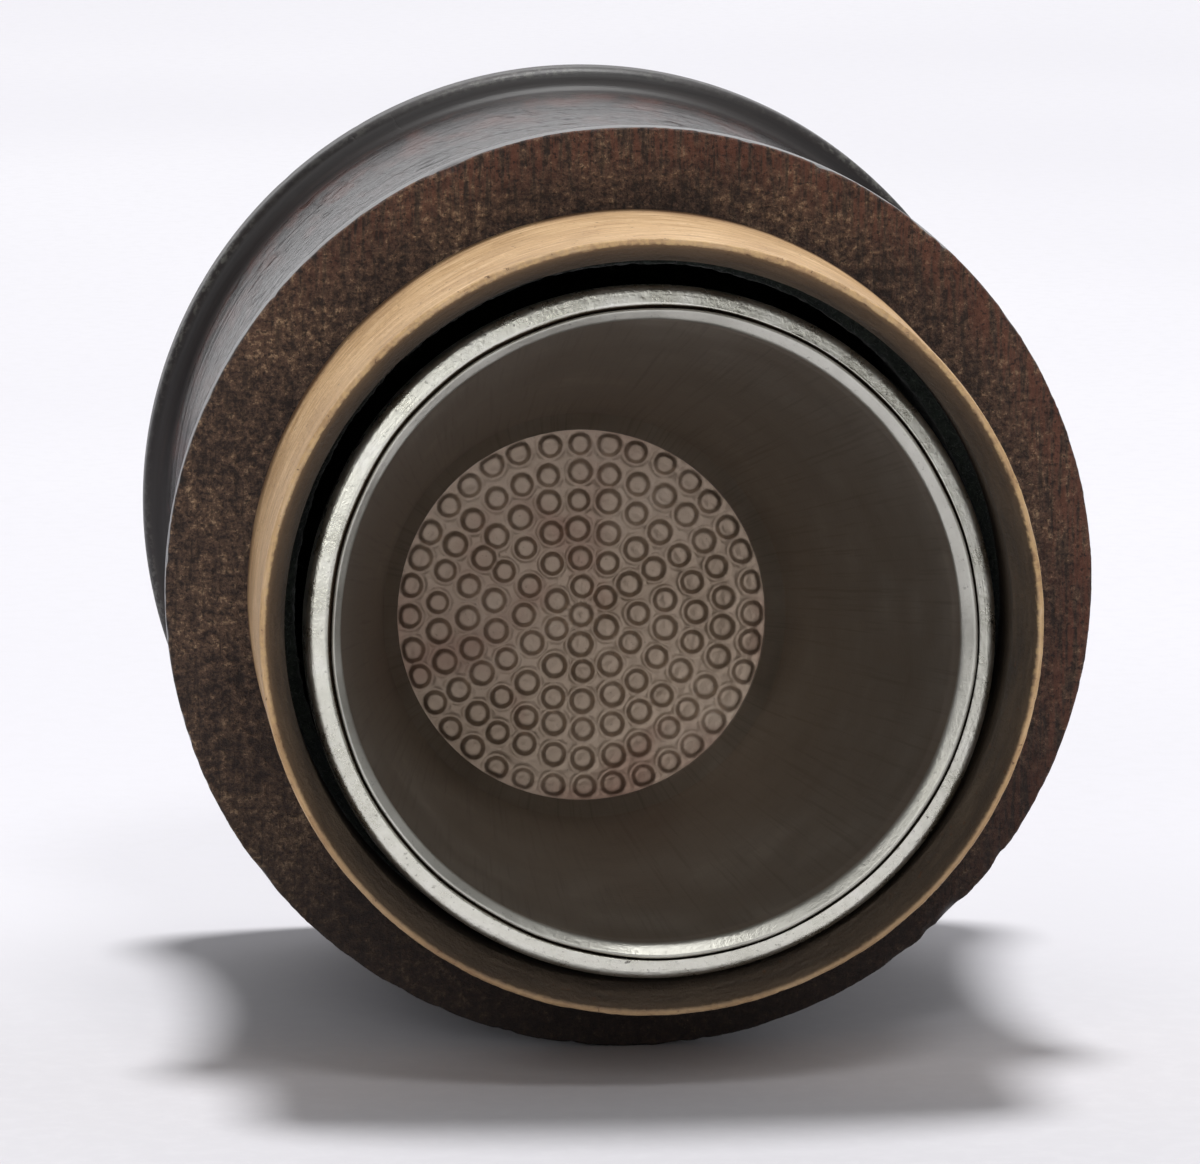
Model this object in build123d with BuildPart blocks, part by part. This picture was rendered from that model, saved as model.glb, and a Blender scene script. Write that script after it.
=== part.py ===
from build123d import *
import math
import os

# A sewing thimble lying loose in its open turned-wood case.
# The case lies on its side on a surface: its axis runs along Y, its mouth opens towards -Y,
# and both of its flanges stand on z = 0. All sizes are in mm.

# ---- case: overall ----
FLANGE_RADIUS = 12.3
BARREL_LENGTH = 17.8  # front face of the front flange to the base
SPIGOT_HEIGHT = 6.5  # how far the light wood sleeve stands out of the front face
AXIS_Z = FLANGE_RADIUS
CREST_Y = -(SPIGOT_HEIGHT + BARREL_LENGTH) / 2
FACE_Y = CREST_Y + SPIGOT_HEIGHT
BASE_Y = FACE_Y + BARREL_LENGTH

# ---- case: turned body ----
WAIST_RADIUS = 10.8
COVE_EDGE_RADIUS = 11.75  # the cove starts this high, below a small step under each flange
STEP_SLOPE = 0.18
FRONT_LAND = 0.75  # straight edge of the thin front flange
FRONT_EDGE_BREAK = 0.12
REAR_LAND = 1.0
REAR_EDGE_ROUND = 0.8
BORE_RADIUS = 9.45
BORE_DEPTH = 14.6  # measured from the front face
REBATE_DEPTH = 4.5  # wider seat in the bore for the sleeve
REBATE_RADIUS = 9.85

# ---- case: sleeve ----
SPIGOT_RADIUS = 10.15
CREST_ROUND = 0.12
CREST_WIDTH = 0.05
MOUTH_BEVEL_DEPTH = 1.0

# ---- case: lining ----
LINING_THICKNESS = 0.4
LINING_START = 3.0  # how far the lining reaches in front of the front face
PAD_THICKNESS = 0.6

# ---- thimble ----
RIM_RADIUS = 9.0
RIM_HEIGHT = 1.6
RIM_CORNER = 0.28
HEM_OUTER_RADIUS = 8.35
MOUTH_RADIUS = 8.08
SEAM_WIDTH = 0.12
SEAM_DEPTH = 0.25
SHOULDER_OUTER_RADIUS = 5.95
SHOULDER_INNER_RADIUS = 5.62
CROWN_HOLE_RADIUS = 5.15
CROWN_SEAT_RADIUS = 5.45
SHOULDER_HEIGHT = 16.7
CROWN_SEAT_HEIGHT = 17.35
SHOULDER_THICKNESS = 0.3
CAP_RADIUS = 5.75
CAP_THICKNESS = 0.5
CAP_CORNER = 0.2

# ---- dimples pressed into the cap, in rings ----
DIMPLE_RINGS = 6
DIMPLE_PITCH = 0.8
DIMPLE_RADIUS = 0.27
DIMPLE_TIP_RADIUS = 0.12
DIMPLE_BUMP = 0.12  # how far each dimple shows inside
DIMPLE_DEPTH = 0.16

# ---- how the thimble lies in the bore ----
RIM_SINK = 0.28  # centre of the mouth below the case axis
RIM_SHIFT = 0.12  # centre of the mouth to the right of the case axis
RIM_SETBACK = 1.45  # centre of the mouth behind the crest of the sleeve
TILT_DEG = 7.7  # closed end down
YAW_DEG = 1.4  # closed end to the left

case_plane = Plane.XY.offset(AXIS_Z)
case_axis = Axis((0, 0, AXIS_Z), (0, 1, 0))

rim_center = Vector(RIM_SHIFT, CREST_Y + RIM_SETBACK, AXIS_Z - RIM_SINK)
tilt = math.radians(TILT_DEG)
yaw = math.radians(YAW_DEG)
thimble_dir = Vector(-math.sin(yaw) * math.cos(tilt), math.cos(yaw) * math.cos(tilt), -math.sin(tilt))
thimble_side = Vector(math.cos(yaw), math.sin(yaw), 0)
thimble_plane = Plane(origin=rim_center, x_dir=thimble_side, z_dir=thimble_side.cross(thimble_dir))
thimble_axis = Axis(rim_center, thimble_dir)


def ring_points(rings, pitch):
    """Centres of dimples set in rings of 6, 12, 18 and so on round one in the middle."""
    points = [(0.0, 0.0)]
    for ring in range(1, rings + 1):
        count = 6 * ring
        for index in range(count):
            angle = 2 * math.pi * (index + 0.5 * (ring % 2)) / count
            points.append((ring * pitch * math.cos(angle), ring * pitch * math.sin(angle)))
    return points


def crown_plane(height, direction):
    """A plane across the thimble, `height` up from its mouth, facing along `direction`."""
    center = rim_center + thimble_dir * height
    return Plane(origin=center, x_dir=thimble_side, z_dir=direction)


os.makedirs("parts", exist_ok=True)

# ---- case body: a spool shape with two flanges, turned from one block ----
with BuildPart() as case_body:
    with BuildSketch(case_plane):
        with BuildLine():
            rear_round_y = BASE_Y - REAR_EDGE_ROUND
            rear_land_y = rear_round_y - REAR_LAND
            cove_end_y = rear_land_y - STEP_SLOPE
            front_land_y = FACE_Y + FRONT_LAND
            cove_start_y = front_land_y + STEP_SLOPE
            diagonal = REAR_EDGE_ROUND * math.sqrt(0.5)
            Polyline(
                (0, BASE_Y),
                (0, FACE_Y + BORE_DEPTH),
                (BORE_RADIUS, FACE_Y + BORE_DEPTH),
                (BORE_RADIUS, FACE_Y + REBATE_DEPTH),
                (REBATE_RADIUS, FACE_Y + REBATE_DEPTH),
                (REBATE_RADIUS, FACE_Y),
                (FLANGE_RADIUS - FRONT_EDGE_BREAK, FACE_Y),
                (FLANGE_RADIUS, FACE_Y + FRONT_EDGE_BREAK),
                (FLANGE_RADIUS, front_land_y),
                (COVE_EDGE_RADIUS, cove_start_y),
            )
            ThreePointArc(
                (COVE_EDGE_RADIUS, cove_start_y),
                (WAIST_RADIUS, (cove_start_y + cove_end_y) / 2),
                (COVE_EDGE_RADIUS, cove_end_y),
            )
            Line((COVE_EDGE_RADIUS, cove_end_y), (FLANGE_RADIUS, rear_land_y))
            Line((FLANGE_RADIUS, rear_land_y), (FLANGE_RADIUS, rear_round_y))
            ThreePointArc(
                (FLANGE_RADIUS, rear_round_y),
                (FLANGE_RADIUS - REAR_EDGE_ROUND + diagonal, rear_round_y + diagonal),
                (FLANGE_RADIUS - REAR_EDGE_ROUND, BASE_Y),
            )
            Line((FLANGE_RADIUS - REAR_EDGE_ROUND, BASE_Y), (0, BASE_Y))
        make_face()
    revolve(axis=case_axis)

# ---- spigot sleeve: light wood, glued in the rebate with its shoulder on the front face;
# the lid fits over its outside ----
with BuildPart() as spigot_sleeve:
    with BuildSketch(case_plane):
        with BuildLine():
            Polyline(
                (BORE_RADIUS, FACE_Y + REBATE_DEPTH),
                (REBATE_RADIUS, FACE_Y + REBATE_DEPTH),
                (REBATE_RADIUS, FACE_Y),
                (SPIGOT_RADIUS, FACE_Y),
                (SPIGOT_RADIUS, CREST_Y + CREST_ROUND),
                (SPIGOT_RADIUS - CREST_ROUND, CREST_Y),
                (SPIGOT_RADIUS - CREST_ROUND - CREST_WIDTH, CREST_Y),
                (BORE_RADIUS, CREST_Y + MOUTH_BEVEL_DEPTH),
                close=True,
            )
        make_face()
    revolve(axis=case_axis)

# ---- bore lining: a thin felt tube, glued to the sleeve and to the bore ----
with BuildPart() as bore_lining:
    with BuildSketch(Plane.XZ.offset(-(FACE_Y - LINING_START))):
        with Locations((0, AXIS_Z)):
            Circle(BORE_RADIUS)
            Circle(BORE_RADIUS - LINING_THICKNESS, mode=Mode.SUBTRACT)
    extrude(amount=-(LINING_START + BORE_DEPTH - PAD_THICKNESS))

# ---- floor pad: a felt disc at the bottom of the bore ----
with BuildPart() as floor_pad:
    with BuildSketch(Plane.XZ.offset(-(FACE_Y + BORE_DEPTH))):
        with Locations((0, AXIS_Z)):
            Circle(BORE_RADIUS)
    extrude(amount=PAD_THICKNESS)

# ---- thimble shell: straight hem, tapered wall, turned-in shoulder with a hole ----
with BuildPart() as thimble_shell:
    with BuildSketch(thimble_plane):
        with BuildLine():
            Polyline(
                (CROWN_SEAT_RADIUS, CROWN_SEAT_HEIGHT),
                (CROWN_HOLE_RADIUS, CROWN_SEAT_HEIGHT),
                (CROWN_HOLE_RADIUS, CROWN_SEAT_HEIGHT - SHOULDER_THICKNESS),
                (SHOULDER_INNER_RADIUS, SHOULDER_HEIGHT - SHOULDER_THICKNESS),
                (MOUTH_RADIUS, RIM_HEIGHT),
                (MOUTH_RADIUS, 0),
                (HEM_OUTER_RADIUS, 0),
                (HEM_OUTER_RADIUS, RIM_HEIGHT),
                (SHOULDER_OUTER_RADIUS, SHOULDER_HEIGHT),
            )
            ThreePointArc(
                (SHOULDER_OUTER_RADIUS, SHOULDER_HEIGHT),
                (CROWN_SEAT_RADIUS + 0.35, SHOULDER_HEIGHT + 0.45),
                (CROWN_SEAT_RADIUS, CROWN_SEAT_HEIGHT),
            )
        make_face()
    revolve(axis=thimble_axis)

# ---- thimble cap: a disc on the shoulder, dimples sunk outside and raised inside ----
with BuildPart() as thimble_cap:
    with BuildSketch(crown_plane(CROWN_SEAT_HEIGHT, thimble_dir)):
        Circle(CAP_RADIUS)
    extrude(amount=CAP_THICKNESS)
    fillet(thimble_cap.edges().sort_by(thimble_axis)[-1], CAP_CORNER)
    with Locations(crown_plane(CROWN_SEAT_HEIGHT + CAP_THICKNESS, -thimble_dir)):
        with Locations(*ring_points(DIMPLE_RINGS, DIMPLE_PITCH)):
            Cone(
                DIMPLE_RADIUS,
                DIMPLE_TIP_RADIUS,
                DIMPLE_DEPTH,
                align=(Align.CENTER, Align.CENTER, Align.MIN),
                mode=Mode.SUBTRACT,
            )
    with Locations(crown_plane(CROWN_SEAT_HEIGHT, -thimble_dir)):
        with Locations(*ring_points(DIMPLE_RINGS, DIMPLE_PITCH)):
            Cone(
                DIMPLE_RADIUS,
                DIMPLE_TIP_RADIUS,
                DIMPLE_BUMP,
                align=(Align.CENTER, Align.CENTER, Align.MIN),
            )

# ---- thimble rim: a rounded band round the hem, with a fine seam at the mouth ----
with BuildPart() as thimble_rim:
    with BuildSketch(thimble_plane):
        with BuildLine():
            corner_x = RIM_RADIUS - RIM_CORNER
            corner_reach = RIM_CORNER * math.sqrt(0.5)
            Polyline(
                (corner_x, RIM_HEIGHT),
                (HEM_OUTER_RADIUS, RIM_HEIGHT),
                (HEM_OUTER_RADIUS, SEAM_DEPTH),
                (HEM_OUTER_RADIUS + SEAM_WIDTH, 0),
                (corner_x, 0),
            )
            ThreePointArc(
                (corner_x, 0),
                (corner_x + corner_reach, RIM_CORNER - corner_reach),
                (RIM_RADIUS, RIM_CORNER),
            )
            Line((RIM_RADIUS, RIM_CORNER), (RIM_RADIUS, RIM_HEIGHT - RIM_CORNER))
            ThreePointArc(
                (RIM_RADIUS, RIM_HEIGHT - RIM_CORNER),
                (corner_x + corner_reach, RIM_HEIGHT - RIM_CORNER + corner_reach),
                (corner_x, RIM_HEIGHT),
            )
        make_face()
    revolve(axis=thimble_axis)

case_body.part.label = "case_body"
spigot_sleeve.part.label = "spigot_sleeve"
bore_lining.part.label = "bore_lining"
floor_pad.part.label = "floor_pad"
thimble_shell.part.label = "thimble_shell"
thimble_cap.part.label = "thimble_cap"
thimble_rim.part.label = "thimble_rim"

export_step(case_body.part, "parts/case_body.step")
export_step(spigot_sleeve.part, "parts/spigot_sleeve.step")
export_step(bore_lining.part, "parts/bore_lining.step")
export_step(floor_pad.part, "parts/floor_pad.step")
export_step(thimble_shell.part, "parts/thimble_shell.step")
export_step(thimble_cap.part, "parts/thimble_cap.step")
export_step(thimble_rim.part, "parts/thimble_rim.step")
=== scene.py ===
import math

import bpy
import numpy as np
from mathutils import Matrix, Vector


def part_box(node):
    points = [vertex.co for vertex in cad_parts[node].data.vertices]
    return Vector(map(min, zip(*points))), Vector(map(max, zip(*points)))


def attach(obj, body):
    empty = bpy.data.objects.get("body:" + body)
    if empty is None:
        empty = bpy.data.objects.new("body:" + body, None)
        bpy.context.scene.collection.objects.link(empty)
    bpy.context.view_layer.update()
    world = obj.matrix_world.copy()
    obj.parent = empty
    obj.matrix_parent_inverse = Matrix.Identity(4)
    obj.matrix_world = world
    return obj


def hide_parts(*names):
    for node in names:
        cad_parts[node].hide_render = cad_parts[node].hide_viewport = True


# A sewing thimble lying loose in its open turned-wood case.
# Sizes are in metres, written as millimetres * MM.
MM = 0.001

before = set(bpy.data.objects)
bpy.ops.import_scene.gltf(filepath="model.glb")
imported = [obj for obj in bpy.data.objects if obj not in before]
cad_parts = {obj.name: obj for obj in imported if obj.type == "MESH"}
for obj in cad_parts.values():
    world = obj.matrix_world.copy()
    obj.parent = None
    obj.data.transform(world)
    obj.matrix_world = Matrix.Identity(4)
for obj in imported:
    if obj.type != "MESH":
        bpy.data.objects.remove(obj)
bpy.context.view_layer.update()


# ---- places, from the frame ----
def middle(node):
    lo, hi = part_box(node)
    return (Vector(lo) + Vector(hi)) / 2


body_lo, body_hi = (Vector(c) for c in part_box("case_body"))
sleeve_lo, sleeve_hi = (Vector(c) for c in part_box("spigot_sleeve"))
lining_lo, lining_hi = (Vector(c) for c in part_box("bore_lining"))
pad_lo, pad_hi = (Vector(c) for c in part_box("floor_pad"))

FLANGE_R = (body_hi.x - body_lo.x) / 2
AXIS_Z = (body_hi.z + body_lo.z) / 2
FACE_Y = body_lo.y
BARREL = body_hi.y - body_lo.y
SPIGOT_R = (sleeve_hi.x - sleeve_lo.x) / 2
CREST = FACE_Y - sleeve_lo.y
SLEEVE_END = sleeve_hi.y - FACE_Y
BORE_R = (lining_hi.x - lining_lo.x) / 2
LINING_START = FACE_Y - lining_lo.y
PAD_TOP = pad_lo.y - FACE_Y
PAD_END = pad_hi.y - FACE_Y

# sizes of the case that no box gives
REBATE_R = SPIGOT_R - 0.3 * MM
LINING_R = BORE_R - 0.4 * MM
WAIST_R = FLANGE_R - 1.5 * MM
COVE_EDGE_R = FLANGE_R - 0.55 * MM
FRONT_LAND = 0.75 * MM
REAR_LAND = 1.0 * MM
STEP_SLOPE = 0.18 * MM
BASE_ROUND = 0.8 * MM
REAR_STEP = BARREL - BASE_ROUND - REAR_LAND
BEVEL_DEPTH = 1.0 * MM
CREST_EDGE = 0.12 * MM
CREST_WIDTH = 0.05 * MM

# the thimble, measured along its own axis from its mouth
RIM_H = 1.6 * MM
RIM_R = 9.0 * MM
HEM_R = 8.35 * MM
MOUTH_R = 8.08 * MM
SHOULDER_R = 5.95 * MM
SHOULDER_IN_R = 5.62 * MM
HOLE_R = 5.15 * MM
SEAT_R = 5.45 * MM
SHOULDER_T = 16.7 * MM
SEAT_T = 17.35 * MM
SHOULDER_THICK = 0.3 * MM
CAP_R = 5.75 * MM
CAP_THICK = 0.5 * MM

# the case's own axes: local z runs into the case from its front face, local y points down
CASE = Matrix(
    (
        (1, 0, 0, 0),
        (0, 0, 1, FACE_Y),
        (0, -1, 0, AXIS_Z),
        (0, 0, 0, 1),
    )
)

# the thimble's own axes: local z runs from its mouth to its cap, local y points down
rim_mid, cap_mid = middle("thimble_rim"), middle("thimble_cap")
t_dir = (cap_mid - rim_mid).normalized()
t_side = Vector((0, 0, 1)).cross(t_dir).normalized() * -1
t_down = t_dir.cross(t_side)
t_origin = rim_mid - t_dir * RIM_H / 2
THIMBLE = Matrix(
    (
        (t_side.x, t_down.x, t_dir.x, t_origin.x),
        (t_side.y, t_down.y, t_dir.y, t_origin.y),
        (t_side.z, t_down.z, t_dir.z, t_origin.z),
        (0, 0, 0, 1),
    )
)


# ---- shapes ----
def arc_between(a, b, c, steps):
    """Points on the circle through a, b and c, from a to c."""
    ax, ay = a
    bx, by = b
    cx, cy = c
    d = 2 * (ax * (by - cy) + bx * (cy - ay) + cx * (ay - by))
    ux = ((ax**2 + ay**2) * (by - cy) + (bx**2 + by**2) * (cy - ay) + (cx**2 + cy**2) * (ay - by)) / d
    uy = ((ax**2 + ay**2) * (cx - bx) + (bx**2 + by**2) * (ax - cx) + (cx**2 + cy**2) * (bx - ax)) / d
    radius = math.hypot(ax - ux, ay - uy)
    start = math.atan2(ay - uy, ax - ux)
    end = math.atan2(cy - uy, cx - ux)
    turn = (end - start + math.pi) % (2 * math.pi) - math.pi
    return [
        (ux + radius * math.cos(start + turn * k / steps), uy + radius * math.sin(start + turn * k / steps))
        for k in range(steps + 1)
    ]


def rounded(corners, step, steps=5):
    """A line through (radius, height, corner radius) points, its corners rounded and its runs divided.
    A fourth value is the step of the run that ends there, in place of the common one."""
    points = []
    for i, (x, y, fillet, *own) in enumerate(corners):
        here = Vector((x, y))
        run_step = own[0] if own else step
        if fillet == 0 or i in (0, len(corners) - 1):
            points.append((x, y, run_step))
            continue
        before = Vector(corners[i - 1][:2]) - here
        after = Vector(corners[i + 1][:2]) - here
        half = before.angle(after) / 2
        back = min(fillet / math.tan(half), before.length * 0.48, after.length * 0.48)
        radius = back * math.tan(half)
        a, b = here + before.normalized() * back, here + after.normalized() * back
        toward = (before.normalized() + after.normalized()).normalized()
        center = here + toward * (radius / math.sin(half))
        mid = center - toward * radius
        turn = arc_between(tuple(a), tuple(mid), tuple(b), steps)
        points += [(*turn[0], run_step)] + [(*p, step) for p in turn[1:]]
    line = [points[0][:2]]
    for x, y, run_step in points[1:]:
        px, py = line[-1]
        length = math.hypot(x - px, y - py)
        if length < 1e-9:
            continue
        count = max(1, math.ceil(length / run_step))
        line += [(px + (x - px) * k / count, py + (y - py) * k / count) for k in range(1, count + 1)]
    return np.array(line)


def grid_noise(seed, around, along, cells_around, cells_along, octaves=3):
    """Smooth noise from about -1 to 1 on a grid that wraps round in its first direction."""
    rng = np.random.RandomState(seed)
    total = np.zeros((around, len(along)))
    weight = 1.0
    for octave in range(octaves):
        nu, nv = cells_around * 2**octave, max(1, int(cells_along * 2**octave))
        grid = rng.uniform(-1, 1, (nu, nv + 2))
        u = np.arange(around) / around * nu
        v = along * nv
        iu, iv = np.floor(u).astype(int), np.clip(np.floor(v).astype(int), 0, nv)
        fu, fv = u - iu, v - iv
        fu, fv = fu * fu * (3 - 2 * fu), fv * fv * (3 - 2 * fv)
        iu, ju = iu % nu, (iu + 1) % nu
        jv = np.minimum(iv + 1, nv + 1)
        low = grid[iu][:, iv] * (1 - fv) + grid[iu][:, jv] * fv
        high = grid[ju][:, iv] * (1 - fv) + grid[ju][:, jv] * fv
        total += weight * (low * (1 - fu[:, None]) + high * fu[:, None])
        weight *= 0.5
    return total


def lathe(name, line, around, matrix, push=None, closed=True, widen=None):
    """Turns a line of (radius, height) points round local z. push(theta, line, normals, share) moves the
    surface along its normal, as an array of distances, one row for each step round. widen(theta, line)
    adds to the radius."""
    line = np.array(line)
    ahead = np.roll(line, -1, 0) - line
    behind = line - np.roll(line, 1, 0)
    if not closed:
        ahead[-1], behind[0] = behind[-1], ahead[0]
    unit = ahead / np.maximum(np.linalg.norm(ahead, axis=1), 1e-12)[:, None]
    unit += behind / np.maximum(np.linalg.norm(behind, axis=1), 1e-12)[:, None]
    unit /= np.maximum(np.linalg.norm(unit, axis=1), 1e-12)[:, None]
    normals = np.stack([unit[:, 1], -unit[:, 0]], 1)
    steps = np.linalg.norm(np.diff(line, axis=0), axis=1)
    share = np.concatenate([[0], np.cumsum(steps)]) / steps.sum()
    theta = np.arange(around) * 2 * math.pi / around
    radius = np.repeat(line[None, :, 0], around, 0)
    height = np.repeat(line[None, :, 1], around, 0)
    if push is not None:
        amount = push(theta, line, normals, share)
        radius = radius + amount * normals[None, :, 0]
        height = height + amount * normals[None, :, 1]
    if widen is not None:
        radius = radius + widen(theta, line)
    poles = [j for j in range(len(line)) if line[j, 0] < 1e-7]
    columns = [j for j in range(len(line)) if j not in poles]
    index = {}
    verts = []
    for j in poles:
        index[j] = len(verts)
        verts.append((0.0, 0.0, float(height[:, j].mean())))
    base = len(verts)
    ring = np.stack(
        [
            radius[:, columns] * np.cos(theta)[:, None],
            radius[:, columns] * np.sin(theta)[:, None],
            height[:, columns],
        ],
        2,
    )
    verts = np.concatenate([np.array(verts).reshape(-1, 3), ring.transpose(1, 0, 2).reshape(-1, 3)])
    start = {j: base + k * around for k, j in enumerate(columns)}
    steps_round = np.arange(around)
    after = (steps_round + 1) % around
    faces = []
    pairs = [(j, j + 1) for j in range(len(line) - 1)]
    if closed:
        pairs.append((len(line) - 1, 0))
    quads = []
    for a, b in pairs:
        if a in index and b in index:
            continue
        if a in index:
            faces += [(index[a], start[b] + int(k), start[b] + int(i)) for i, k in zip(steps_round, after)]
        elif b in index:
            faces += [(start[a] + int(i), start[a] + int(k), index[b]) for i, k in zip(steps_round, after)]
        else:
            near, far = start[a], start[b]
            quads.append(np.stack([near + steps_round, near + after, far + after, far + steps_round], 1))
    for block in quads:
        faces += [tuple(f) for f in block.tolist()]
    mesh = bpy.data.meshes.new(name)
    mesh.from_pydata(verts.tolist(), [], faces)
    mesh.validate()
    mesh.update()
    mesh.polygons.foreach_set("use_smooth", [True] * len(mesh.polygons))
    piece = bpy.data.objects.new(name, mesh)
    piece.matrix_world = matrix
    bpy.context.scene.collection.objects.link(piece)
    return piece


def wrapped(theta, center):
    """Angle from center, from -pi to pi."""
    return (theta - center + math.pi) % (2 * math.pi) - math.pi


def smooth_step(x):
    x = np.clip(x, 0, 1)
    return x * x * (3 - 2 * x)


# ---- materials ----
class Nodes:
    """A short way to write a node material."""

    def __init__(self, name):
        self.material = bpy.data.materials.new(name)
        self.material.use_nodes = True
        self.tree = self.material.node_tree
        self.tree.nodes.clear()
        self.out = self.add("ShaderNodeOutputMaterial")
        self.shader = self.add("ShaderNodeBsdfPrincipled")
        self.tree.links.new(self.shader.outputs[0], self.out.inputs["Surface"])
        self.place = self.add("ShaderNodeTexCoord").outputs["Object"]

    def add(self, kind, **settings):
        node = self.tree.nodes.new(kind)
        for key, value in settings.items():
            setattr(node, key, value)
        return node

    def put(self, socket, value):
        if isinstance(value, bpy.types.NodeSocket):
            self.tree.links.new(value, socket)
        elif value is not None:
            socket.default_value = value

    def math(self, operation, a, b=None, clamp=False):
        node = self.add("ShaderNodeMath", operation=operation, use_clamp=clamp)
        self.put(node.inputs[0], a)
        self.put(node.inputs[1], b)
        return node.outputs[0]

    def mul(self, a, b):
        return self.math("MULTIPLY", a, b)

    def plus(self, a, b):
        return self.math("ADD", a, b)

    def minus(self, a, b):
        return self.math("SUBTRACT", a, b)

    def round_place(self, across, down, turns, along):
        """A place for noise that changes slowly round the axis and with `along` on the surface."""
        return self.vector(self.mul(across, turns), self.mul(down, turns), along)

    def axes(self):
        """Local x, y, z, the distance from the axis, and the two parts of the direction round it."""
        split = self.add("ShaderNodeSeparateXYZ")
        self.put(split.inputs[0], self.place)
        x, y, z = split.outputs
        radius = self.math("SQRT", self.plus(self.mul(x, x), self.mul(y, y)))
        safe = self.math("MAXIMUM", radius, 1e-6)
        return x, y, z, radius, self.math("DIVIDE", x, safe), self.math("DIVIDE", y, safe)

    def vector(self, x, y, z):
        node = self.add("ShaderNodeCombineXYZ")
        for socket, value in zip(node.inputs, (x, y, z)):
            self.put(socket, value)
        return node.outputs[0]

    def noise(self, place, scale, detail=4.0, roughness=0.6, distortion=0.0, w=None):
        node = self.add("ShaderNodeTexNoise", noise_dimensions="3D" if w is None else "4D")
        self.put(node.inputs["Vector"], place)
        self.put(node.inputs["Scale"], scale)
        self.put(node.inputs["Detail"], detail)
        self.put(node.inputs["Roughness"], roughness)
        self.put(node.inputs["Distortion"], distortion)
        if w is not None:
            self.put(node.inputs["W"], w)
        return node.outputs["Fac"]

    def fit(self, value, low, high, to_low=0.0, to_high=1.0, smooth=True):
        node = self.add("ShaderNodeMapRange", interpolation_type="SMOOTHSTEP" if smooth else "LINEAR")
        for socket, v in zip(list(node.inputs)[:5], (value, low, high, to_low, to_high)):
            self.put(socket, v)
        return node.outputs[0]

    def ramp(self, value, *stops):
        node = self.add("ShaderNodeValToRGB")
        while len(node.color_ramp.elements) < len(stops):
            node.color_ramp.elements.new(0.5)
        for element, (position, color) in zip(node.color_ramp.elements, stops):
            element.position = position
            element.color = (*color, 1)
        self.put(node.inputs[0], value)
        return node.outputs[0]

    def mix(self, factor, a, b, blend="MIX"):
        node = self.add("ShaderNodeMix", data_type="RGBA", blend_type=blend)
        self.put(node.inputs[0], factor)
        for socket, value in zip(node.inputs[6:8], (a, b)):
            self.put(socket, (*value, 1) if isinstance(value, tuple) else value)
        return node.outputs[2]

    def bump(self, *layers):
        """Layers of (height, depth in metres, strength), the finest last."""
        normal = None
        for height, depth, strength in layers:
            node = self.add("ShaderNodeBump")
            self.put(node.inputs["Height"], height)
            self.put(node.inputs["Distance"], depth)
            self.put(node.inputs["Strength"], strength)
            self.put(node.inputs["Normal"], normal)
            normal = node.outputs[0]
        self.put(self.shader.inputs["Normal"], normal)

    def surface(self, **values):
        for key, value in values.items():
            socket = self.shader.inputs[key.replace("_", " ")]
            self.put(socket, (*value, 1) if isinstance(value, tuple) else value)
        return self.material


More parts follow.
